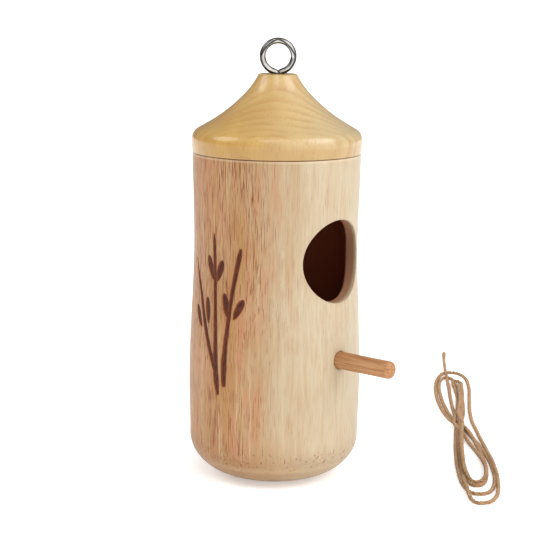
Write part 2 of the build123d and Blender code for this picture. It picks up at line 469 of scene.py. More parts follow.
def make_lid():
    """The turned lid, from the middle of its plug round the rim and up the flare to its top."""
    shoulder_start = (LID_R, RIM_Z + LID_WIDEST_H)
    shoulder = arc((LID_R - SHOULDER_R, shoulder_start[1]), SHOULDER_R, 0, SHOULDER_TURN, 14)
    turn = radians(SHOULDER_TURN)
    flare_middle = (FLARE_R, RIM_Z + FLARE_H)
    top_edge = (NECK_R, LID_TOP_Z - TOP_ROUND)
    plug_end_r = PLUG_R - PLUG_CHAMFER - PLUG_EDGE_ROUND
    plug_top = PLUG_BOTTOM_Z + PLUG_CHAMFER
    profile = [(r, PLUG_BOTTOM_Z) for r in np.linspace(0.6, plug_end_r, 12)]
    profile += arc((plug_end_r, PLUG_BOTTOM_Z + PLUG_EDGE_ROUND), PLUG_EDGE_ROUND, -90, -45, 4).tolist()
    profile += [(PLUG_R, z) for z in np.linspace(plug_top, RIM_Z, 8)]
    profile += [(r, RIM_Z) for r in np.linspace(PLUG_R, LID_UNDERSIDE_R - RIM_ROUND, 6)[1:-1]]
    profile += arc((LID_UNDERSIDE_R - RIM_ROUND, RIM_Z + RIM_ROUND), RIM_ROUND, -90, 0, 7).tolist()
    profile += hermite(profile[-1], shoulder_start, RIM_LEAN, (0, 1), 8)[1:].tolist()
    profile += shoulder[1:].tolist()
    profile += hermite(profile[-1], flare_middle, (-sin(turn), cos(turn)), FLARE_SLOPE, 26)[1:].tolist()
    profile += hermite(flare_middle, top_edge, FLARE_SLOPE, NECK_SLOPE, 26)[1:].tolist()
    profile += arc((NECK_R - TOP_ROUND - TOP_ROUND_INSET, top_edge[1]), TOP_ROUND, 20, 90, 7).tolist()
    profile += [(r, LID_TOP_Z) for r in np.linspace(profile[-1][0], 0.4, 8)[1:]]
    skin = Skin()
    columns = np.linspace(-pi, pi, 256, endpoint=False)
    skin.tube(turned(profile, columns), (0, 0, PLUG_BOTTOM_Z), (0, 0, LID_TOP_Z))
    return skin.build("birdhouse_lid")


# ---- perch ----

def make_perch():
    """The dowel, with its long faint flutes and a rounded tip."""
    length = PERCH_INNER_Y - PERCH_TIP_Y
    profile = [(0.5, 0.0), (1.8, 0.0), (PERCH_R - PERCH_END_CHAMFER, 0.0)]
    profile += [(PERCH_R, s) for s in np.linspace(PERCH_END_CHAMFER, length - PERCH_TIP_ROUND, 60)]
    profile += arc((PERCH_R - PERCH_TIP_ROUND, length - PERCH_TIP_ROUND), PERCH_TIP_ROUND,
                   0, 90, 12)[1:].tolist()
    profile += [(1.1, length), (0.5, length)]
    columns = np.linspace(-pi, pi, 96, endpoint=False)
    grid = turned(profile, columns)
    flute = 0.035 * np.cos(columns * 9) + 0.025 * np.cos(columns * 14 + 1.3)
    along = np.asarray(profile)[:, 1]
    fade = smooth_step(length, length - 4, along) * smooth_step(0, 5, along)
    swell = 1 + (flute[None, :] - 0.03) * fade[:, None] / PERCH_R
    x, y, s = grid[..., 0] * swell, grid[..., 1] * swell, grid[..., 2]
    placed = np.stack([x, PERCH_INNER_Y - s, PERCH_Z + y], -1)
    skin = Skin()
    skin.tube(placed, (0, PERCH_INNER_Y, PERCH_Z), (0, PERCH_TIP_Y, PERCH_Z))
    return skin.build("perch_dowel")


# ---- screw eye ----

def wire_tube(skin, path, radii, sides, plane_normal):
    """A round wire along a path that lies in one plane. Gives the grid of its point numbers."""
    path = np.asarray(path, float)
    ahead = unit(np.gradient(path, axis=0))
    aside = np.cross(ahead, plane_normal)
    around = np.linspace(0, tau, sides, endpoint=False)
    ring = (np.cos(around)[None, :, None] * aside[:, None, :]
            + np.sin(around)[None, :, None] * np.asarray(plane_normal)[None, None, :])
    points = path[:, None, :] + ring * np.asarray(radii)[:, None, None]
    numbers = skin.add(points)
    skin.ring(numbers)
    return numbers


def make_eye():
    """The screw eye: a thread on a tapered point, the shank, the bend and the closed ring."""
    turn = radians(EYE_FACING)
    across, up = np.array([cos(turn), sin(turn), 0]), np.array([0, 0, 1.0])
    normal = np.cross(across, up)
    bend_drop = sqrt((EYE_R + EYE_BEND_R) ** 2 - EYE_BEND_R ** 2)
    bend_z = EYE_Z - bend_drop
    bend_turn = np.degrees(np.arctan2(bend_drop, EYE_BEND_R))

    def placed(flat):
        flat = np.asarray(flat)
        return flat[:, :1] * across + flat[:, 1:] * up

    shank = [(0, z) for z in np.linspace(THREAD_TOP_Z, bend_z, 8)]
    rise = arc((-EYE_BEND_R, bend_z), EYE_BEND_R, 0, bend_turn, 14)[1:]
    ring = arc((0, EYE_Z), EYE_R, 180 + bend_turn, -bend_turn, 110)[1:]
    tuck = arc((EYE_BEND_R, bend_z), EYE_BEND_R, 180 - bend_turn, 180 - bend_turn + EYE_END_TURN, 8)[1:]
    path = placed(np.concatenate([shank, rise, ring, tuck]))
    radii = np.full(len(path), WIRE_R)
    radii[0] = THREAD_CORE_R
    radii[-1] = WIRE_R - 0.18
    skin = Skin()
    grid = wire_tube(skin, path, radii, 28, normal)
    skin.fan(grid[-1], path[-1])

    # The thread: a round core whose radius follows a helix, worn down at both ends
    around = np.linspace(0, tau, 28, endpoint=False)
    bottom = eye_low[2]
    heights = np.arange(bottom, THREAD_TOP_Z + 0.01, 0.1)
    phase = (heights[:, None] / THREAD_PITCH - around[None, :] / tau) % 1
    crest = np.clip(1 - np.abs(phase - 0.5) * 3.2, 0, 1)
    full = smooth_step(bottom, bottom + POINT_H, heights)[:, None]
    fade = (full * smooth_step(THREAD_TOP_Z, THREAD_TOP_Z - 1.5, heights)[:, None])
    radius = 0.12 + (THREAD_CORE_R - 0.12) * full + (THREAD_CREST_R - THREAD_CORE_R) * crest * fade
    thread = np.stack([radius * np.cos(around), radius * np.sin(around),
                       heights[:, None] + 0 * around], -1)
    skin.tube(thread, (0, 0, bottom), (0, 0, THREAD_TOP_Z + 0.05))
    return skin.build("eye_wire")


# ---- hanging cord ----

# Turns of the hank. Each is (reach, left width, right width, its tip's shift to the left, where it
# enters and leaves beside the crossing, left sharpness, right sharpness).
CROSSING_AT = 6.0
NEAR_TURNS = [(-95.2, 6.5, -7.5, 2.4, 2.5, 2.7, 1.0, 1.0), (-105.7, 5.0, -7.6, 2.9, -4.3, 2.1, 1.0, 1.6),
              (-85.2, 3.9, -5.0, 2.5, 1.6, 1.1, 1.0, 1.0), (-81.6, 4.0, -4.7, 2.4, 5.0, 0.0, 1.0, 2.0)]
FAR_TURNS = [(90.4, 8.2, -6.9, -1.9, 2.7, -4.2, 0.5, 2.0), (80.5, 5.8, -3.8, 0.4, 1.5, 1.8, 0.5, 0.5)]
BIGHT_ROUTE = [(9.0, 0.9), (20.0, -0.2), (32.0, -1.7), (44.0, -2.9), (56.0, -3.9), (66.0, -4.5),
               (71.5, -4.9), (76.2, -5.1), (77.5, -4.0), (77.5, -2.2), (76.2, -1.1), (71.5, -1.2),
               (66.0, -1.4), (56.0, -1.5), (44.0, -0.9), (32.0, 0.2), (20.0, 1.6), (10.0, 3.2)]
TAIL_IN_ROUTE = [(80.0, 0.8), (63.0, 1.3), (46.0, 2.1), (30.0, 2.4), (16.0, 2.3)]
END_ROUTE = [(12.0, 1.6), (24.0, 0.5), (36.0, -1.2), (48.0, -2.2), (59.0, -2.9), (69.0, -3.3)]
STEPS_PER_TURN = 40
NEAR_BLUNTNESS, FAR_BLUNTNESS = 0.76, 0.82
FIRST_STEP = 3
SETTLING_ROUNDS = 160


def hank_turn(turn, left_first):
    """One teardrop turn, from the crossing round its tip and back, as (along, across)."""
    reach, left, right, tip_shift, enter, leave, left_sharp, right_sharp = turn
    sides = [(left, left_sharp), (right, right_sharp)]
    if not left_first:
        sides.reverse()
    bluntness = NEAR_BLUNTNESS if reach < 0 else FAR_BLUNTNESS
    points = []
    for step in range(FIRST_STEP, STEPS_PER_TURN - FIRST_STEP + 1):
        angle = tau * step / STEPS_PER_TURN
        lift = (1 - cos(angle)) / 2
        width, sharpness = sides[0] if angle < pi else sides[1]
        offset = enter if angle < pi else leave
        swell = abs(sin(angle)) ** bluntness * (1.22 * sin(angle / 2)) ** sharpness
        points.append((CROSSING_AT + reach * lift,
                       width * swell + offset * (1 - lift) ** 2 + tip_shift * lift ** 2))
    return points


def hank_path():
    """The cord's line seen from above, as (along, across) in the hank's own axes.

    The tail runs in to the crossing, then near and far turns follow, each its own size. The third
    far turn is a narrow bight."""
    line = TAIL_ROUTE[::-1] + TAIL_IN_ROUTE
    line += hank_turn(NEAR_TURNS[0], True)
    line += hank_turn(FAR_TURNS[0], True)
    line += hank_turn(NEAR_TURNS[1], False)
    line += hank_turn(FAR_TURNS[1], False)
    line += hank_turn(NEAR_TURNS[2], False)
    line += BIGHT_ROUTE
    line += hank_turn(NEAR_TURNS[3], False)
    return line + END_ROUTE


def hank_to_frame(line, heights):
    """Points of the hank's own axes in the CAD frame, in millimetres."""
    turn = radians(HANK_HEADING)
    flat = np.asarray(line, float)
    x = HANK_CENTRE[0] + flat[:, 0] * cos(turn) - flat[:, 1] * sin(turn)
    y = HANK_CENTRE[1] + flat[:, 0] * sin(turn) + flat[:, 1] * cos(turn)
    return np.stack([x, y, CORD_R + np.asarray(heights)], -1)


def nurbs(name, points_mm):
    """A smooth open curve with these control points."""
    data = bpy.data.curves.new(name, "CURVE")
    data.dimensions = "3D"
    data.resolution_u = 6
    spline = data.splines.new("NURBS")
    spline.points.add(len(points_mm) - 1)
    for point, place in zip(spline.points, points_mm):
        point.co = (*(place * MM), 1.0)
    spline.order_u = 3
    spline.use_endpoint_u = True
    made = bpy.data.objects.new(name, data)
    bpy.context.scene.collection.objects.link(made)
    return made


def curve_points(curve):
    """The points that Blender draws the curve through, in millimetres."""
    bpy.context.view_layer.update()
    mesh = bpy.data.meshes.new_from_object(curve)
    flat = np.empty(len(mesh.vertices) * 3, dtype=np.float32)
    mesh.vertices.foreach_get("co", flat)
    bpy.data.meshes.remove(mesh)
    return flat.reshape(-1, 3).astype(float) / MM


def settle(line):
    """Heights that let each stretch lie on whatever was laid down before it, in long low humps."""
    flat = np.asarray(line, float)
    fine_at = np.linspace(0, len(flat) - 1, (len(flat) - 1) * 3 + 1)
    fine = resampled(flat, np.arange(len(flat)), fine_at)
    run = run_along(fine)
    gap = np.linalg.norm(fine[:, None] - fine[None], axis=-1)
    thick = 2 * CORD_R * 0.96
    rise = np.sqrt(np.maximum(thick ** 2 - gap ** 2, 0))
    earlier = (run[:, None] - run[None] > 4 * thick) & (gap < thick)
    height = np.zeros(len(fine))
    for _ in range(SETTLING_ROUNDS):
        need = np.where(earlier, height[None] + rise, 0).max(axis=1)
        height = np.maximum(height - 0.04, need)
        for _ in range(4):
            height[1:-1] = (height[:-2] + 2 * height[1:-1] + height[2:]) / 4
    return np.interp(np.arange(len(flat)), fine_at, height)


def frames_along(path):
    """Unit directions along a path, and two across it that don't spin about it."""
    ahead = unit(np.gradient(path, axis=0))
    side = np.zeros_like(path)
    side[0] = np.cross(ahead[0], (0, 0, 1))
    side[0] /= np.linalg.norm(side[0])
    for i in range(1, len(path)):
        carried = side[i - 1] - ahead[i] * (side[i - 1] @ ahead[i])
        side[i] = carried / np.linalg.norm(carried)
    return ahead, side, np.cross(ahead, side)


PLIES = 3
PLY_SIDES = 7
PLY_PITCH = 5.6
PLY_OFFSET = 0.38
PLY_R = 0.45
STRAND_STEP = 0.45
LOWEST_POINT_Z = 0.02
SLIM_FROM, SLIM_TO, SLIMMING = 70.0, 40.0, 0.16
FRAY_LENGTH, FRAY_OPENING = 16.0, 0.9


def ply_tube(ply, path, side, up, at):
    """One lumpy ply wound round the path: its middle line, and a round row of points at each."""
    # The free end is drawn a little thinner, and opens out where it was cut
    slim = 1 - SLIMMING * smooth_step(SLIM_FROM, SLIM_TO, at)
    fray = np.clip(1 - at / FRAY_LENGTH, 0, 1)
    around = np.linspace(0, tau, PLY_SIDES, endpoint=False)
    turn = at / PLY_PITCH * tau + ply * tau / PLIES
    thick = 1 + 0.09 * np.sin(at * 0.83 + 2 * ply) + 0.07 * np.sin(at * 2.17 + ply)
    offset = PLY_OFFSET * slim * (1 + FRAY_OPENING * fray)
    centre = path + side * (offset * np.cos(turn))[:, None] + up * (offset * np.sin(turn))[:, None]
    spin = around[None, :] + turn[:, None]
    radius = PLY_R * thick[:, None] * (1 + 0.07 * np.sin(3 * around[None, :] + at[:, None] * 1.7))
    ends = smooth_step(0, 0.8, np.minimum(at, at[-1] - at))[:, None]
    radius = radius * (0.8 + 0.2 * ends) * slim[:, None]
    ring = (np.cos(spin)[..., None] * side[:, None] + np.sin(spin)[..., None] * up[:, None])
    points = centre[:, None] + ring * radius[..., None]
    points[..., 2] = np.maximum(points[..., 2], LOWEST_POINT_Z)
    return centre, points


def make_cord():
    """The jute twine: three plies twisted along the cord's line, with stray fibres."""
    line = hank_path()
    curve = nurbs("cord_line", hank_to_frame(line, settle(line)))
    drawn = curve_points(curve)
    bpy.data.objects.remove(curve)
    run = run_along(drawn)
    length = run[-1]
    at = np.linspace(0, length, int(length / STRAND_STEP))
    path = resampled(drawn, run, at)
    ahead, side, up = frames_along(path)
    skin = Skin()
    around_share = np.linspace(0, tau, PLY_SIDES, endpoint=False) / tau
    along_field, around_field = [], []
    for ply in range(PLIES):
        centre, points = ply_tube(ply, path, side, up, at)
        skin.tube(points, centre[0], centre[-1])
        along_field += [np.repeat(at, PLY_SIDES), [0.0, length]]
        around_field += [np.tile(around_share, len(at)) + ply, [0.5, 0.5]]
    add_fibres(skin, path, side, up, ahead, at, along_field, around_field)
    fields = {"along_mm": np.concatenate(along_field), "around": np.concatenate(around_field)}
    return skin.build("hanging_twine", fields), path, length


FIBRE_COUNT = 900
TIP_FIBRES = 26
FIBRE_R = 0.035
FIBRE_STEPS = 5


def add_fibres(skin, path, side, up, ahead, at, along_field, around_field):
    """Stray jute fibres that stand off the twine, and a small burst of them at each end."""
    dice = np.random.default_rng(7)
    spots = dice.integers(4, len(path) - 4, FIBRE_COUNT)
    spots[:TIP_FIBRES] = dice.integers(0, 4, TIP_FIBRES)
    for number, spot in enumerate(spots):
        tip = number < TIP_FIBRES
        spin = dice.uniform(0, tau)
        out = side[spot] * cos(spin) + up[spot] * sin(spin)
        length = dice.uniform(1.2, 3.0) if tip else dice.uniform(0.8, 2.6)
        lean = -1.0 if tip else dice.choice([-1.0, 1.0])
        stand = dice.uniform(0.1, 0.35) if tip else dice.uniform(0.15, 0.5)
        droop = dice.uniform(-0.3, 0.3)
        t = np.linspace(0, 1, FIBRE_STEPS)[:, None]
        start = path[spot] + out * (0.15 if tip else 0.5)
        bend = np.cross(ahead[spot], out)
        line = (start + ahead[spot] * lean * length * t * (1 - 0.2 * stand)
                + out * stand * length * t ** 1.3 + bend * droop * length * t ** 2)
        line[:, 2] = np.maximum(line[:, 2], 0.06)
        width = FIBRE_R * (1 - 0.7 * t[:, 0])
        angles = np.array([0, tau / 3, 2 * tau / 3])
        ring = (np.cos(angles)[None, :, None] * out + np.sin(angles)[None, :, None] * bend)
        points = line[:, None] + ring * width[:, None, None]
        points[..., 2] = np.maximum(points[..., 2], LOWEST_POINT_Z)
        skin.ring(skin.add(points))
        along_field.append(np.full(len(angles) * FIBRE_STEPS, at[spot]))
        around_field.append(np.full(len(angles) * FIBRE_STEPS, 0.3))


# ---- materials ----

def linear(*srgb):
    """A colour given as 0 to 255 screen values, as the linear numbers that shaders take."""
    def one(value):
        value = value / 255
        return value / 12.92 if value <= 0.04045 else ((value + 0.055) / 1.055) ** 2.4
    return tuple(one(value) for value in srgb) + (1.0,)


class Nodes:
    """Short names for the nodes that the materials and the studio are wired from."""

    def __init__(self, tree):
        self.tree = tree

    def node(self, kind, inputs=None, **settings):
        made = self.tree.nodes.new("ShaderNode" + kind)
        for key, value in settings.items():
            setattr(made, key, value)
        for key, value in (inputs or {}).items():
            self.feed(made.inputs[key], value)
        return made

    def feed(self, socket, value):
        if isinstance(value, bpy.types.NodeSocket):
            self.tree.links.new(value, socket)
        else:
            socket.default_value = value

    def math(self, operation, first, second=0.0, clamp=False):
        made = self.node("Math", operation=operation, use_clamp=clamp)
        for socket, value in zip(made.inputs, (first, second)):
            self.feed(socket, value)
        return made.outputs[0]

    def times(self, first, second):
        return self.math("MULTIPLY", first, second)

    def plus(self, first, second, clamp=False):
        return self.math("ADD", first, second, clamp=clamp)

    def minus(self, first, second):
        return self.math("SUBTRACT", first, second)

    def weighted(self, first, first_share, second, second_share):
        """The sum of two values, each times its own share."""
        return self.plus(self.times(first, first_share), self.times(second, second_share))

    def hypot(self, first, second):
        return self.math("SQRT", self.weighted(first, first, second, second))

    def millimetres(self, stretch=(1, 1, 1), shift=(0, 0, 0), turn=0.0):
        """The point in the object's own millimetres, squeezed along each axis after a turn about Z."""
        place = self.node("TexCoord").outputs["Object"]
        if turn:
            place = self.node("Mapping", {"Vector": place, "Rotation": (0, 0, -turn)}).outputs[0]
        scale = [factor / MM for factor in stretch]
        return self.node("Mapping", {"Vector": place, "Scale": scale, "Location": shift}).outputs[0]

    def noise_at(self, vector, detail, roughness=0.5, distortion=0.0):
        made = self.node("TexNoise", {"Vector": vector, "Scale": 1.0, "Detail": detail,
                                      "Roughness": roughness, "Distortion": distortion})
        return made.outputs["Fac"]

    def noise(self, stretch, *settings, shift=(0, 0, 0), turn=0.0):
        """Noise in the object's own millimetres. A small stretch makes long grains on that axis."""
        return self.noise_at(self.millimetres(stretch, shift, turn), *settings)

    def remap(self, value, low, high, out_low=0.0, out_high=1.0):
        made = self.node("MapRange", {"Value": value, "From Min": low, "From Max": high,
                                      "To Min": out_low, "To Max": out_high},
                         interpolation_type="SMOOTHSTEP")
        return made.outputs["Result"]

    def window(self, value, rise_from, rise_to, fall_from, fall_to):
        """1 over a stretch of values, eased at both of its ends."""
        return self.times(self.remap(value, rise_from, rise_to), self.remap(value, fall_from, fall_to))

    def mix(self, factor, first, second):
        made = self.node("Mix", data_type="RGBA")
        self.feed(made.inputs["Factor"], factor)
        self.feed(made.inputs[6], first)
        self.feed(made.inputs[7], second)
        return made.outputs[2]

    def field(self, name):
        return self.node("Attribute", attribute_name=name).outputs["Fac"]

    def split(self, vector):
        return self.node("SeparateXYZ", {"Vector": vector}).outputs

    def bump(self, height, distance_mm, strength):
        return self.node("Bump", {"Height": height, "Distance": distance_mm * MM,
                                  "Strength": strength}).outputs[0]


class Shade(Nodes):
    """One material, and the nodes that feed its shader."""

    def __init__(self, name):
        self.material = bpy.data.materials.new(name)
        self.material.use_nodes = True
        super().__init__(self.material.node_tree)
        self.shader = self.tree.nodes["Principled BSDF"]

    def finish(self, **sockets):
        for key, value in sockets.items():
            self.feed(self.shader.inputs[key.replace("_", " ")], value)
        return self.material


# The body's wood, its burn and its bare inside
CREAM_WOOD, PINK_WOOD = linear(188, 174, 147), linear(170, 127, 80)
TAN_WOOD, STRAW_WOOD = linear(162, 127, 78), linear(202, 187, 153)
FIBRE_WOOD, ROSE_WOOD = linear(156, 112, 70), linear(180, 129, 94)
VESSEL_WOOD, END_GRAIN_AND_SHADE = linear(122, 58, 28), linear(140, 107, 70)
RIDGE_WOOD, RIM_HIGHLIGHT_WOOD = linear(214, 188, 146), linear(232, 208, 168)
SEAM_SHADE = linear(104, 58, 20)
SCORCH, CHAR_EDGE = linear(150, 90, 48), linear(106, 46, 12)
CHAR_BLACK, CHAR_BROWN = linear(58, 18, 2), linear(92, 40, 8)
CUT_WOOD, CHAMBER_SHADE_WOOD = linear(152, 98, 68), linear(138, 63, 37)

# The lid's wood
GOLD_WOOD, DEEP_GOLD_WOOD = linear(193, 153, 74), linear(180, 138, 62)
LIT_SIDE_GOLD_WOOD, LID_EDGE_SHADE_WOOD = linear(200, 188, 154), linear(168, 128, 64)
LATE_WOOD, LID_FIBRE_WOOD = linear(162, 114, 54), linear(166, 120, 62)
FLECK_WOOD = linear(146, 96, 46)

# The perch, the screw eye, the cord and the floor
PALE_DOWEL, RED_DOWEL, DOWEL_LINE = linear(188, 141, 97), linear(156, 106, 66), linear(126, 80, 50)
BRIGHT_NICKEL, DULL_NICKEL = linear(214, 212, 208), linear(176, 172, 166)
DARK_REFLECTION = linear(42, 39, 36)
PALE_JUTE, DARK_JUTE, BROWN_JUTE = linear(206, 168, 124), linear(112, 74, 44), linear(164, 121, 80)
FLOOR_GREY, FLOOR_WHITE = linear(246, 246, 246), linear(250, 250, 250)

# Between these distances from the middle the body's wall turns from its finished outside to a cut
# hole's wall, and then to the chamber
SEAM_FROM_R, SEAM_TO_R = 30.05, 30.3
CUT_FROM_R, CUT_TO_R = 29.7, 28.4


def body_bands(s, pith_side_and_shade, fibres):
    """Pink and cream bands, rosy patches, and fine fibres along the grain."""
    bands = s.noise((0.15, 0.15, 0.007), 3.0, 0.6, 0.5)
    narrow = s.noise((0.5, 0.5, 0.014), 3.0, 0.6, shift=(3, 1, 0))
    cloud = s.noise((0.07, 0.07, 0.04), 3.0, 0.6, shift=(7, 3, 1))
    # Towards the sprig's side the wood is pinker, and is painted darker there as painted shade
    warm = s.weighted(pith_side_and_shade, 0.95, s.minus(bands, 0.5), 0.95)
    warm = s.plus(warm, s.times(s.minus(cloud, 0.5), 0.8), clamp=True)
    colour = s.mix(warm, CREAM_WOOD, PINK_WOOD)
    rose = s.noise((0.22, 0.22, 0.035), 2.0, 0.6, shift=(11, 5, 8))
    rose = s.times(s.remap(rose, 0.45, 0.68), s.remap(pith_side_and_shade, 0.0, 1.0, 0.15, 0.75))
    colour = s.mix(rose, colour, ROSE_WOOD)
    contrast = s.remap(pith_side_and_shade, 0.0, 1.0, 0.35, 1.0)
    tan_band = s.times(s.remap(narrow, 0.48, 0.72, 0.0, 0.45), contrast)
    straw_band = s.times(s.remap(narrow, 0.46, 0.26, 0.0, 0.45), contrast)
    colour = s.mix(tan_band, colour, TAN_WOOD)
    colour = s.mix(straw_band, colour, STRAW_WOOD)
    return s.mix(s.remap(fibres, 0.40, 0.74, 0.0, 0.30), colour, FIBRE_WOOD)


def body_vessels(s, z, pith_side_and_shade):
    """Fine and coarse vessels: short dashes along the grain, crowded on the pith's side."""
    crowd = s.noise((0.10, 0.10, 0.022), 1.0, shift=(1, 6, 3))
    high = s.remap(z, 40.0, 118.0, 0.0, 0.05)
    crowd = s.weighted(s.minus(crowd, 0.5), 0.26, pith_side_and_shade, s.plus(high, 0.075))
    # The vessels are wider along the rays, which run from the pith's side to the other
    rays = radians(EYE_FACING)
    fine = s.noise((5.2, 3.0, 0.16), 1.0, 0.4, shift=(9, 4, 2), turn=rays)
    coarse = s.noise((3.6, 2.1, 0.10), 1.0, 0.4, shift=(4, 9, 6), turn=rays)
    depth = s.remap(pith_side_and_shade, 0.30, 0.75, 0.35, 1.0)
    fine = s.times(s.remap(s.plus(fine, crowd), 0.68, 0.73), depth)
    coarse = s.times(s.remap(s.plus(coarse, crowd), 0.715, 0.75), depth)
    return fine, coarse


def body_foot_and_rim(s, z, radial, colour):
    """The foot's dots, its end grain with painted shade, the paler ridges, a painted highlight on the
    rim's edge, and the seam's shade on the rim.
    """
    # Vessels cut across look like dots
    dots = s.noise((1.1, 1.1, 0.7), 1.0, 0.4, shift=(6, 2, 9))
    foot_band = s.window(z, 5.5, 8.0, 17.0, 12.0)
    dots = s.times(s.remap(dots, 0.655, 0.69, 0.0, 0.75), foot_band)
    colour = s.mix(dots, colour, VESSEL_WOOD)
    # End grain drinks in more lacquer, and the foot's rounding is also painted darker as painted shade
    # where it turns under; the rim's edge gets a pale painted highlight
    colour = s.mix(s.remap(z, 19.0, 4.0, 0.0, 0.62), colour, END_GRAIN_AND_SHADE)
    ridge = s.window(z, 6.2, 7.2, 9.6, 7.6)
    colour = s.mix(s.times(ridge, 0.16), colour, RIDGE_WOOD)
    # A pale line painted along the rim's rounded edge is a painted highlight, where the edge catches the
    # light
    rim_highlight = s.window(z, RIM_Z - 1.1, RIM_Z - 0.6, RIM_Z, RIM_Z - 0.3)
    colour = s.mix(s.times(rim_highlight, 0.28), colour, RIM_HIGHLIGHT_WOOD)
    seam = s.times(s.remap(z, RIM_Z - 0.16, RIM_Z - 0.04, 0.0, 0.9),
                   s.remap(radial, SEAM_FROM_R, SEAM_TO_R))
    return s.mix(seam, colour, SEAM_SHADE)


def body_burn(s, colour):
    """The burn: nearly black at its heart, redder along its edges, with a faint scorch round it."""
    ragged = s.noise((1.6, 1.6, 0.5), 2.0)
    distance = s.plus(s.field("sprig_mm"), s.times(s.minus(ragged, 0.5), 0.30))
    colour = s.mix(s.remap(distance, 0.9, 0.0, 0.0, 0.30), colour, SCORCH)
    char = s.mix(s.remap(ragged, 0.35, 0.7), CHAR_BLACK, CHAR_BROWN)
    char = s.mix(s.remap(distance, -0.8, -0.1), char, CHAR_EDGE)
    burned = s.remap(distance, 0.12, -0.12)
    return s.mix(burned, colour, char), burned


def body_inside(s, z, radial, colour):
    """Bare, unfinished wood in the holes' walls, and in the chamber a painted shade that darkens further
    below the rim.
    """
    above_floor = s.window(z, CHAMBER_FLOOR_Z - 1, CHAMBER_FLOOR_Z - 0.2, RIM_Z - 0.3, RIM_Z - 0.9)
    cut = s.times(s.remap(radial, CUT_FROM_R, CUT_TO_R), above_floor)
    colour = s.mix(s.times(cut, 0.80), colour, CUT_WOOD)
    # The chamber is painted dark as painted shade, more so further down from the rim
    inside = s.times(s.remap(radial, BORE_R + 0.6, BORE_R + 0.1), above_floor)
    chamber_shade_depth = s.remap(z, RIM_Z, ENTRANCE_Z + ENTRANCE_R, 0.30, 0.85)
    return s.mix(s.times(inside, chamber_shade_depth), colour, CHAMBER_SHADE_WOOD)


def body_wood():
    """Pale rubberwood: pink and cream bands, fine fibres, brown vessel dashes, and the burn."""
    s = Shade("body_wood")
    x, y, z = s.split(s.millimetres())
    radial = s.hypot(x, y)
    # The sprig's side of the block is pinker and more porous than the entrance's side, and is also
    # painted darker there as painted shade, since it faces away from the key light
    pith_side_and_shade = s.remap(s.weighted(x, -0.83, y, 0.55), -10.0, 28.0)
    fibres = s.noise((2.2, 2.2, 0.10), 3.0, 0.65)
    colour = body_bands(s, pith_side_and_shade, fibres)
    fine, coarse = body_vessels(s, z, pith_side_and_shade)
    colour = s.mix(s.times(fine, 0.55), colour, VESSEL_WOOD)
    colour = s.mix(s.times(coarse, 0.90), colour, VESSEL_WOOD)
    colour = body_foot_and_rim(s, z, radial, colour)
    colour, burned = body_burn(s, colour)
    colour = body_inside(s, z, radial, colour)
    relief = s.weighted(fibres, 0.5, s.math("MAXIMUM", fine, coarse), -0.8)
    roughness = s.plus(s.remap(fibres, 0.3, 0.7, 0.40, 0.50), s.times(burned, 0.2))
    return s.finish(Base_Color=colour, Roughness=roughness, Normal=s.bump(relief, 0.05, 0.5),
                    Specular_IOR_Level=0.22, Coat_Weight=0.12, Coat_Roughness=0.3)


def lid_wood():
    """Golden lacquered wood: growth rings stand across the view axis and show as arches."""
    s = Shade("lid_wood")
    x, y, z = s.split(s.millimetres())
    across = radians(EYE_FACING)
    depth = s.weighted(x, sin(across), y, -cos(across))
    side = s.weighted(x, cos(across), y, sin(across))
    bow = s.times(s.times(side, side), 0.010)
    lean = s.times(z, 0.12)
    warp = s.noise((0.06, 0.06, 0.03), 2.0)
    rings = s.plus(s.plus(depth, bow), s.times(warp, 3.5))
    rings = s.plus(rings, lean)
    phase = s.math("FRACT", s.times(rings, 0.34))
    late = s.window(phase, 0.25, 0.90, 1.0, 0.93)
    strength = s.noise((0.09, 0.09, 0.09), 2.0, shift=(2, 4, 6))
    late = s.times(late, s.remap(strength, 0.35, 0.65, 0.10, 0.38))
    fibres = s.noise((2.4, 2.4, 0.16), 3.0, 0.6)
    broad = s.noise((0.08, 0.08, 0.03), 2.0, shift=(5, 2, 0))
    # The side towards the key light is painted paler and less saturated: a painted sheen
    painted_lit_side = s.remap(side, -24.0, 26.0)
    colour = s.mix(s.remap(broad, 0.3, 0.7), GOLD_WOOD, DEEP_GOLD_WOOD)
    colour = s.mix(s.times(painted_lit_side, 0.60), colour, LIT_SIDE_GOLD_WOOD)
    # The band under the lid's widest point is painted darker: painted shade under the shoulder
    colour = s.mix(s.remap(z, RIM_Z + 6.0, RIM_Z + 3.0, 0.0, 0.5), colour, LID_EDGE_SHADE_WOOD)
    colour = s.mix(late, colour, LATE_WOOD)
    colour = s.mix(s.remap(fibres, 0.4, 0.75, 0.0, 0.30), colour, LID_FIBRE_WOOD)
    flecks = s.noise((1.5, 1.5, 0.35), 1.0, shift=(2, 8, 5))
    colour = s.mix(s.remap(flecks, 0.66, 0.76, 0.0, 0.40), colour, FLECK_WOOD)
    # The lowest edge sits in the seam's shade
    radial = s.hypot(x, y)
    seam = s.times(s.remap(z, RIM_Z + 0.40, RIM_Z + 0.16, 0.0, 0.92),
                   s.remap(radial, LID_UNDERSIDE_R - 0.4, LID_UNDERSIDE_R - 0.2))
    colour = s.mix(seam, colour, SEAM_SHADE)
    # Fine turning lines run round the lid, and make its gloss break up
    turning = s.noise((0.05, 0.05, 3.0), 2.0, shift=(1, 1, 0))
    relief = s.plus(fibres, s.times(turning, 0.8))
    normal = s.bump(relief, 0.03, 0.45)
    return s.finish(Base_Color=colour, Roughness=s.remap(fibres, 0.3, 0.7, 0.34, 0.46),
                    Normal=normal, Specular_IOR_Level=0.4, Coat_Weight=0.55, Coat_Roughness=0.12)


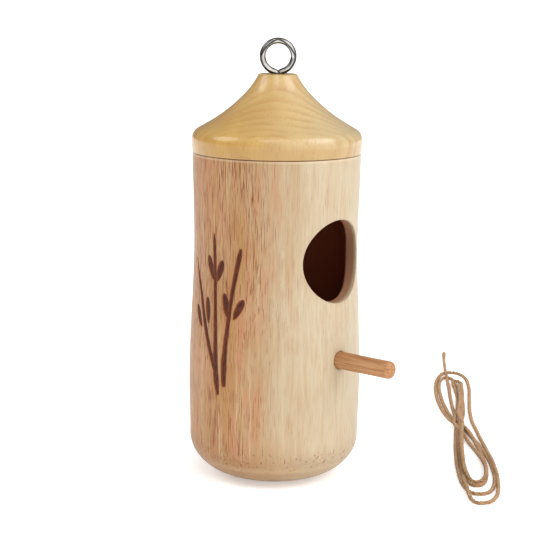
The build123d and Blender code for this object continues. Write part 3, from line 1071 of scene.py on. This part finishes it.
def perch_wood():
    """Reddish dowel, with its grain along it."""
    s = Shade("perch_wood")
    grain = s.noise((1.5, 0.05, 1.5), 3.0, 0.6)
    lines = s.noise((3.6, 0.09, 3.6), 2.0, 0.6, shift=(4, 0, 7))
    colour = s.mix(s.remap(grain, 0.32, 0.68), PALE_DOWEL, RED_DOWEL)
    colour = s.mix(s.remap(lines, 0.52, 0.66, 0.0, 0.65), colour, DOWEL_LINE)
    normal = s.bump(s.plus(grain, lines), 0.06, 0.6)
    return s.finish(Base_Color=colour, Roughness=s.remap(grain, 0.3, 0.7, 0.50, 0.62),
                    Normal=normal, Specular_IOR_Level=0.3)


def plated_steel():
    """Nickel plate: bright in front and behind, with dark reflections painted at the wire's sides and in
    one band.
    """
    s = Shade("plated_steel")
    x, y, z = s.split(s.millimetres())
    facing = radians(EYE_FACING)
    depth = s.weighted(x, sin(facing), y, -cos(facing))
    cloud = s.noise((0.6, 0.6, 0.6), 3.0)
    edge = s.plus(s.math("ABSOLUTE", depth), s.times(cloud, 0.3))
    # The wire's sides are painted dark: a painted reflection of the dim room
    painted_dark_reflection = s.remap(edge, 1.22, 1.02, 0.0, 0.80)
    colour = s.mix(s.remap(cloud, 0.35, 0.7), BRIGHT_NICKEL, DULL_NICKEL)
    side = s.weighted(x, cos(facing), y, sin(facing))
    above = s.minus(z, EYE_Z)
    out = s.hypot(side, above)
    # A painted dark reflection runs round the ring in a band, near its rim but further in on both upper
    # quarters
    corner = s.times(s.math("ABSOLUTE", side), s.math("MAXIMUM", above, 0.0))
    dark_reflection_band = s.minus(s.minus(out, EYE_R + 0.62), s.times(corner, -1.9 / EYE_R ** 2))
    dark_reflection_band = s.remap(s.math("ABSOLUTE", dark_reflection_band), 0.55, 0.25, 0.0, 0.93)
    painted_dark_reflection = s.math("MAXIMUM", painted_dark_reflection, s.times(dark_reflection_band, s.remap(above, -9.0, -6.5)))
    colour = s.mix(painted_dark_reflection, colour, DARK_REFLECTION)
    marks = s.noise((3.0, 3.0, 3.0), 2.0)
    return s.finish(Base_Color=colour, Metallic=1.0, Roughness=s.remap(cloud, 0.3, 0.7, 0.10, 0.20),
                    Normal=s.bump(marks, 0.02, 0.2))


def jute():
    """Undyed jute: fibre streaks that follow each ply, in browns and straw."""
    s = Shade("jute")
    place = s.node("CombineXYZ", {
        "X": s.times(s.field("along_mm"), 0.55),
        "Y": s.times(s.field("around"), 9.0), "Z": 0.0}).outputs[0]
    streaks = s.noise_at(place, 3.0, 0.65)
    patches = s.noise((0.12, 0.12, 0.12), 2.0)
    colour = s.mix(s.remap(streaks, 0.3, 0.7), PALE_JUTE, DARK_JUTE)
    colour = s.mix(s.remap(patches, 0.4, 0.65, 0.0, 0.5), colour, BROWN_JUTE)
    return s.finish(Base_Color=colour, Roughness=0.86, Normal=s.bump(streaks, 0.08, 0.9),
                    Specular_IOR_Level=0.2, Sheen_Weight=0.25, Sheen_Roughness=0.5)


def floor_paint():
    """A plain pale sheet, lit a little from behind as on a light table, faintly mottled."""
    s = Shade("floor_paint")
    mottle = s.noise((0.01, 0.01, 0.01), 2.0)
    colour = s.mix(mottle, FLOOR_GREY, FLOOR_WHITE)
    return s.finish(Base_Color=colour, Roughness=0.9, Specular_IOR_Level=0.1,
                    Emission_Color=(1.0, 1.0, 1.0, 1.0), Emission_Strength=0.38)


# ---- assembly ----

def place(piece, body, node, slot, material):
    """Rides a piece on its body, in place of its CAD node, with its material."""
    piece.data.materials.append(material)
    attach(piece, body)
    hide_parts(*([node] if isinstance(node, str) else node))


cord, cord_line, cord_length = make_cord()
place(cord, "cord", ["cord_hank", "cord_tail"], "twine", jute())

place(make_body(), "house", "house_body", "body_wood", body_wood())
place(make_perch(), "house", "perch", "perch_wood", perch_wood())
place(make_lid(), "lid", "lid", "lid_wood", lid_wood())
place(make_eye(), "lid", "screw_eye", "steel", plated_steel())


# ---- camera, studio and floor ----

CAMERA_DISTANCE = 0.6188
CAMERA_HEIGHT = 0.188
CAMERA_TURN = -48.84
CAMERA_PITCH = 10.4
CAMERA_ROLL = 0.689
CAMERA_LENS = 111.16

# Each glow of the studio: the cosine where it begins, the cosine where it is full, its strength
KEY = (0.35, 0.95, 1.13)
RIGHT_BOX = (0.93, 0.965, 3.4)
LEFT_BOX = (0.945, 0.975, 3.8)
FRONT_BOX = (0.970, 0.985, 2.8)
CEILING = (0.2, 0.95, 0.27)
ROOM_LIGHT = 0.25
FLOOR_REACH = 30000.0


def make_camera():
    """The camera, and the level directions to its right and away from it."""
    turn, pitch, roll = radians(CAMERA_TURN), radians(CAMERA_PITCH), radians(CAMERA_ROLL)
    level = Vector((-sin(turn), cos(turn), 0))
    right = Vector((cos(turn), sin(turn), 0))
    forward = level * cos(pitch) - Vector((0, 0, sin(pitch)))
    up = right.cross(forward)
    tilted_right = right * cos(roll) + up * sin(roll)
    tilted_up = up * cos(roll) - right * sin(roll)
    data = bpy.data.cameras.new("camera")
    data.lens = CAMERA_LENS
    data.sensor_width = 36.0
    data.clip_start, data.clip_end = 0.01, 100.0
    camera = bpy.data.objects.new("camera", data)
    axes = Matrix((tilted_right, tilted_up, -forward)).transposed().to_4x4()
    spot = level * -CAMERA_DISTANCE + Vector((0, 0, CAMERA_HEIGHT))
    camera.matrix_world = Matrix.Translation(spot) @ axes
    bpy.context.scene.collection.objects.link(camera)
    bpy.context.scene.camera = camera
    return right, level


def make_floor():
    """A wide seamless floor."""
    skin = Skin()
    ends = (-FLOOR_REACH, FLOOR_REACH)
    skin.quads(skin.add([[(x, y, 0) for x in ends] for y in ends]))
    floor = skin.build("studio_floor")
    floor.data.materials.append(floor_paint())


def make_world(right, away):
    """A dim pale room, with a broad key light at the right and front and three bright boxes above."""
    world = bpy.data.worlds.new("studio")
    world.use_nodes = True
    s = Nodes(world.node_tree)
    background = s.tree.nodes["Background"]
    s.feed(background.inputs["Color"], (1, 1, 1, 1))
    direction = s.node("TexCoord").outputs["Generated"]

    def glow(towards, low, high, gain):
        dot = s.node("VectorMath", operation="DOT_PRODUCT")
        s.feed(dot.inputs[0], direction)
        s.feed(dot.inputs[1], Vector(towards).normalized())
        return s.remap(dot.outputs["Value"], low, high, 0.0, gain)

    up = Vector((0, 0, 1))
    key = glow(right * 0.75 - away * 0.85 + up * 0.5, *KEY)
    right_box = glow(right * 0.72 - away * 0.18 + up * 0.72, *RIGHT_BOX)
    left_box = glow(up * 0.65 - right * 0.76, *LEFT_BOX)
    front_box = glow(up * 0.85 - away * 0.5 - right * 0.08, *FRONT_BOX)
    ceiling = glow(up, *CEILING)
    boxes = s.plus(s.plus(right_box, left_box), front_box)
    light = s.plus(s.plus(key, ceiling), s.plus(boxes, ROOM_LIGHT))
    s.feed(background.inputs["Strength"], light)
    bpy.context.scene.world = world


right, away = make_camera()
make_world(right, away)
make_floor()
bpy.context.scene.view_settings.view_transform = "Standard"
